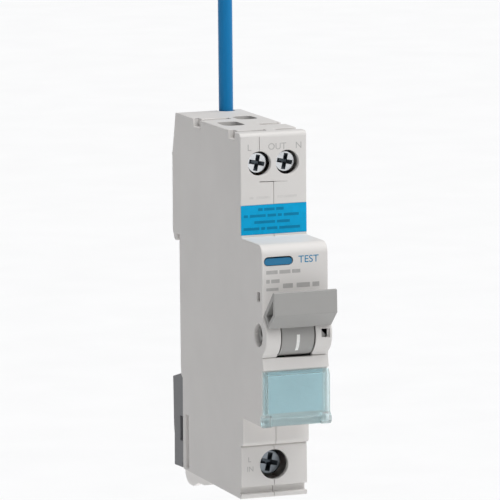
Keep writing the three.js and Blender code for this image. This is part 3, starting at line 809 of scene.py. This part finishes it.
class BREAKER_OT_toggle(Operator):
    """Finish the toggle, its mark and the status flag"""

    bl_idname = "breaker.toggle"
    bl_label = "Toggle"

    def execute(self, context):
        plastic = LIBRARY["toggle_plastic"]
        refined("toggle", plastic, "toggle_plastic", 0.18 * MM, sharper_than=30, segments=3)
        refined("status_flag", plastic, "toggle_plastic", 0.08 * MM)
        bm = bmesh.new()
        y, z = TOGGLE_AXIS
        start = math.radians(MARK_FROM)
        out = Vector((0, -math.cos(start), math.sin(start))) * (DRUM_RADIUS + 0.002) * MM
        low, high = (bm.verts.new(at(x, y, z) + out) for x in MARK_X)
        edge = bm.edges.new((low, high))
        bmesh.ops.spin(
            bm,
            geom=[low, high, edge],
            cent=at(0, y, z),
            axis=(1, 0, 0),
            dvec=(0, 0, 0),
            angle=math.radians(MARK_FROM - MARK_TO),
            steps=14,
            use_merge=False,
            use_duplicate=False,
        )
        bmesh.ops.recalc_face_normals(bm, faces=bm.faces)
        if bm.faces[:][0].normal.y > 0:
            bmesh.ops.reverse_faces(bm, faces=bm.faces)
        bmesh.ops.solidify(bm, geom=bm.faces[:], thickness=0.05 * MM)
        install(new_object("on_mark", bm), "toggle", LIBRARY["mark_ink"], "toggle_plastic")
        return {"FINISHED"}


# ------------------------------------------------------------------ test button and cover


class BREAKER_OT_front_controls(Operator):
    """Finish the test button, the card and the clear cover"""

    bl_idname = "breaker.front_controls"
    bl_label = "Front controls"

    def execute(self, context):
        refined("test_button", LIBRARY["button_plastic"], "blue_button", 0.14 * MM, segments=3)
        refined("label_card", LIBRARY["card_stock"], "card", 0.04 * MM)
        refined("label_cover", LIBRARY["clear_plastic"], "clear_plastic", 0.14 * MM, segments=3)
        return {"FINISHED"}


# ------------------------------------------------------------------ terminals


SHANK_RADIUS = {"line_screw": 1.8, "neutral_screw": 1.8, "supply_screw": 2.2}
FACE_SHARE = 0.9
THREAD_PITCH = 0.8
RECESS_REACH = 0.86
RECESS_DEPTH = 0.6
CROSS_WIDTH = 0.62
CROSS_DEPTH = 0.55
CROSS_ARM = 0.85
CROSS_TAPER = 0.3
CROSS_TURN = 12


def screw_rings(head, shank, total):
    """The rings of a screw behind its face: chamfer, head, neck and thread ridges."""
    rings = [(head, 0.1 * head), (head, 0.7 * head), (head * 0.93, 0.05 * MM), (shank * 0.8, 0.0)]
    rest = total - 0.8 * head - 0.05 * MM
    turns = max(4, int(rest / (THREAD_PITCH * MM)))
    pitch = rest / turns
    for _ in range(turns):
        rings += [(shank, pitch * 0.45), (shank, pitch * 0.1), (shank * 0.82, pitch * 0.45)]
    rings[-1] = (shank * 0.6, rings[-1][1])
    return rings


def make_screw(node, name, head_radius, finish):
    """A cheese-head screw: chamfered head, cross recess darkened with painted shade, ridged shank."""
    low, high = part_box(node)
    x, z = (low.x + high.x) / 2, (low.z + high.z) / 2
    front = low.y
    bm = bmesh.new()
    facing = Matrix.Rotation(-math.pi / 2, 4, "X")
    bmesh.ops.create_circle(
        bm,
        cap_ends=True,
        segments=48,
        radius=head_radius * FACE_SHARE,
        matrix=Matrix.Translation((x, front, z)) @ facing,
    )
    rings = screw_rings(head_radius, SHANK_RADIUS[node] * MM, high.y - front)
    centre = Vector((x, 0, z))
    draw_out(bm, bm.faces[:][0], centre, head_radius * FACE_SHARE, rings, Vector((0, 1, 0)))
    screw = new_object(name, bm)
    cut(screw, cross_tool(Vector((x, front, z)), head_radius))
    screw.data.shade_smooth()
    screw.data.set_sharp_from_angle(angle=math.radians(34))
    install(screw, node, LIBRARY[finish], "steel", node)
    # The faces inside the cross recess take the darker steel copy: painted shade.
    screw.data.materials.append(LIBRARY["recess_steel"])
    for face in screw.data.polygons:
        inside = math.hypot(face.center.x - x, face.center.z - z) < RECESS_REACH * head_radius
        if inside and front + 0.01 * MM < face.center.y < front + RECESS_DEPTH * head_radius:
            face.material_index = 1
    return screw


def cross_tool(centre, head_radius):
    """The tapered cross that is sunk into a screw head."""
    width, depth, reach = (head_radius * share for share in (CROSS_WIDTH, CROSS_DEPTH, CROSS_ARM))
    bm = bmesh.new()
    cube = bmesh.ops.create_cube(bm, size=1.0)
    bmesh.ops.scale(bm, vec=(width, depth * 2, width), verts=cube["verts"])
    sides = [f for f in bm.faces if abs(f.normal.y) < 0.5]
    for arm in bmesh.ops.extrude_discrete_faces(bm, faces=sides)["faces"]:
        bmesh.ops.translate(bm, vec=arm.normal * reach, verts=arm.verts)
    deep = [v for v in bm.verts if v.co.y > 0]
    bmesh.ops.scale(bm, vec=(CROSS_TAPER, 1, CROSS_TAPER), verts=deep)
    turn = Matrix.Rotation(math.radians(CROSS_TURN), 3, "Y")
    bmesh.ops.rotate(bm, cent=(0, 0, 0), matrix=turn, verts=bm.verts)
    bmesh.ops.translate(bm, vec=centre, verts=bm.verts)
    bmesh.ops.recalc_face_normals(bm, faces=bm.faces)
    return new_object("cross_tool", bm)


class BREAKER_OT_terminals(Operator):
    """Make the terminal screws, cages and bus plates"""

    bl_idname = "breaker.terminals"
    bl_label = "Terminals"

    def execute(self, context):
        make_screw("line_screw", "line_terminal_screw", 2.7 * MM, "screw_steel")
        make_screw("neutral_screw", "neutral_terminal_screw", 2.7 * MM, "screw_steel")
        make_screw("supply_screw", "supply_terminal_screw", 3.15 * MM, "supply_steel")
        edge = sizes().metal_edge
        for side in ("line", "neutral", "supply"):
            refined(side + "_cage", LIBRARY["plated_steel"], "steel", edge)
            refined(side + "_bus", LIBRARY["copper"], "copper", edge)
        return {"FINISHED"}


# ------------------------------------------------------------------ rail clip


class BREAKER_OT_rail_clip(Operator):
    """Finish the sliding clip at the rail"""

    bl_idname = "breaker.rail_clip"
    bl_label = "Rail clip"

    def execute(self, context):
        refined("rail_clip", LIBRARY["clip_plastic"], "clip_plastic", 0.2 * MM, segments=3)
        return {"FINISHED"}


# ------------------------------------------------------------------ mechanism


class BREAKER_OT_mechanism(Operator):
    """Finish the link, the contacts and the trip lever"""

    bl_idname = "breaker.mechanism"
    bl_label = "Mechanism"

    def execute(self, context):
        edge = sizes().metal_edge
        for node in ("link_rod", "arm_pin", "trip_lever_pin", "magnet_plunger", "relay_pin"):
            refined(node, LIBRARY["plated_steel"], "steel", edge)
        for node in ("contact_arm", "fixed_contact", "test_blade"):
            refined(node, LIBRARY["copper"], "copper", edge)
        for node in ("moving_contact_pad", "fixed_contact_pad"):
            refined(node, LIBRARY["silver_contact"], "silver", edge)
        refined("trip_lever", LIBRARY["black_plastic"], "dark_plastic", 0.12 * MM)
        return {"FINISHED"}


SPRINGS = {
    "toggle_spring": ((1, 0, 0), 0.36, 3.0),
    "contact_spring": ((1, 0, 0), 0.4, 4.0),
    "trip_lever_spring": ((1, 0, 0), 0.34, 4.0),
    "plunger_spring": ((0, 1, 0), 0.3, 4.0),
    "test_button_spring": ((0, 1, 0), 0.3, 5.0),
}


class BREAKER_OT_springs(Operator):
    """Wind the coil springs"""

    bl_idname = "breaker.springs"
    bl_label = "Springs"

    def execute(self, context):
        for node, (axis, wire, turns) in SPRINGS.items():
            low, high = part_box(node)
            centre = (low + high) / 2
            direction = Vector(axis)
            half = (high - low).dot(direction) / 2 - wire * MM / 2
            radius = (high.z - low.z) / 2 - wire * MM / 2
            spring = coil(node + "_coil", centre, axis, radius, wire * MM, -half, half, turns)
            install(spring, body_of(node), LIBRARY["spring_steel"], "steel", node)
        return {"FINISHED"}


class BREAKER_OT_trip_units(Operator):
    """Finish the magnetic and thermal trips and the arc chute"""

    bl_idname = "breaker.trip_units"
    bl_label = "Trip units"

    def execute(self, context):
        edge = sizes().metal_edge
        refined("magnet_yoke", LIBRARY["plated_steel"], "steel", edge)
        low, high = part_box("magnet_coil")
        wire = 1.1 * MM
        radius = (high.z - low.z) / 2 - wire / 2
        winding = coil(
            "magnet_winding",
            (low + high) / 2,
            (0, 1, 0),
            radius,
            wire,
            -(high.y - low.y) / 2 + wire / 2,
            (high.y - low.y) / 2 - wire / 2,
            11,
            sides=10,
            steps=24,
        )
        install(winding, "case", LIBRARY["enamelled_wire"], "copper", "magnet_coil")
        refined("bimetal_strip", LIBRARY["plated_steel"], "steel", edge)
        refined("braid", LIBRARY["copper"], "copper", 0.02 * MM, sharper_than=80)
        for node in sorted(frame["nodes"]):
            if node.startswith("arc_plate"):
                refined(node, LIBRARY["plated_steel"], "steel", edge)
        refined("arc_chute_frame", LIBRARY["fibre_board"], "fibre", edge)
        return {"FINISHED"}


class BREAKER_OT_electronics(Operator):
    """Finish the circuit board, its components, the relay and the current sensor"""

    bl_idname = "breaker.electronics"
    bl_label = "Electronics"

    def execute(self, context):
        refined("circuit_board", LIBRARY["circuit_board"], "circuit", 0.05 * MM)
        refined("surge_capacitor", LIBRARY["blue_lacquer"], "component", 0.4 * MM, segments=4)
        refined("varistor", LIBRARY["blue_lacquer"], "component", 0.4 * MM, segments=4)
        refined("control_chip", LIBRARY["black_plastic"], "dark_plastic", 0.1 * MM)
        refined("trip_relay", LIBRARY["black_plastic"], "dark_plastic", 0.2 * MM)
        refined("sense_toroid", LIBRARY["core_tape"], "component", 0.5 * MM, segments=4)
        refined("test_resistor", LIBRARY["resistor_lacquer"], "component", 0.3 * MM, segments=3)
        for node, material, slot in (
            ("line_wire", "line_insulation", "wire_insulation"),
            ("neutral_inner_wire", "lead_insulation", "lead_insulation"),
        ):
            refined(node, LIBRARY[material], slot, 0.02 * MM, sharper_than=80)
        return {"FINISHED"}


# ------------------------------------------------------------------ add-on

OPERATORS = (
    BREAKER_OT_stage,
    BREAKER_OT_neutral_lead,
    BREAKER_OT_case,
    BREAKER_OT_labels,
    BREAKER_OT_toggle,
    BREAKER_OT_front_controls,
    BREAKER_OT_terminals,
    BREAKER_OT_rail_clip,
    BREAKER_OT_mechanism,
    BREAKER_OT_springs,
    BREAKER_OT_trip_units,
    BREAKER_OT_electronics,
)


class BREAKER_PT_sidebar(Panel):
    """Lists the breaker's settings and pieces"""

    bl_idname = "BREAKER_PT_sidebar"
    bl_label = "Breaker"
    bl_space_type = "VIEW_3D"
    bl_region_type = "UI"
    bl_category = "Breaker"

    def draw(self, context):
        for group in (
            context.scene.breaker_colours,
            context.scene.breaker_sizes,
            context.scene.breaker_stage,
        ):
            box = self.layout.box()
            for name in group.bl_rna.properties.keys():
                if name not in {"rna_type", "name"}:
                    box.prop(group, name)
        for operator in OPERATORS:
            self.layout.operator(operator.bl_idname)


CLASSES = (BreakerColours, BreakerSizes, BreakerStage, *OPERATORS, BREAKER_PT_sidebar)


def register():
    for cls in CLASSES:
        bpy.utils.register_class(cls)
    bpy.types.Scene.breaker_colours = PointerProperty(type=BreakerColours)
    bpy.types.Scene.breaker_sizes = PointerProperty(type=BreakerSizes)
    bpy.types.Scene.breaker_stage = PointerProperty(type=BreakerStage)


def unregister():
    del bpy.types.Scene.breaker_colours
    del bpy.types.Scene.breaker_sizes
    del bpy.types.Scene.breaker_stage
    for cls in reversed(CLASSES):
        bpy.utils.unregister_class(cls)


def main():
    register()
    make_materials()
    for operator in OPERATORS:
        group, name = operator.bl_idname.split(".")
        getattr(getattr(bpy.ops, group), name)()


if __name__ == "__main__":
    main()
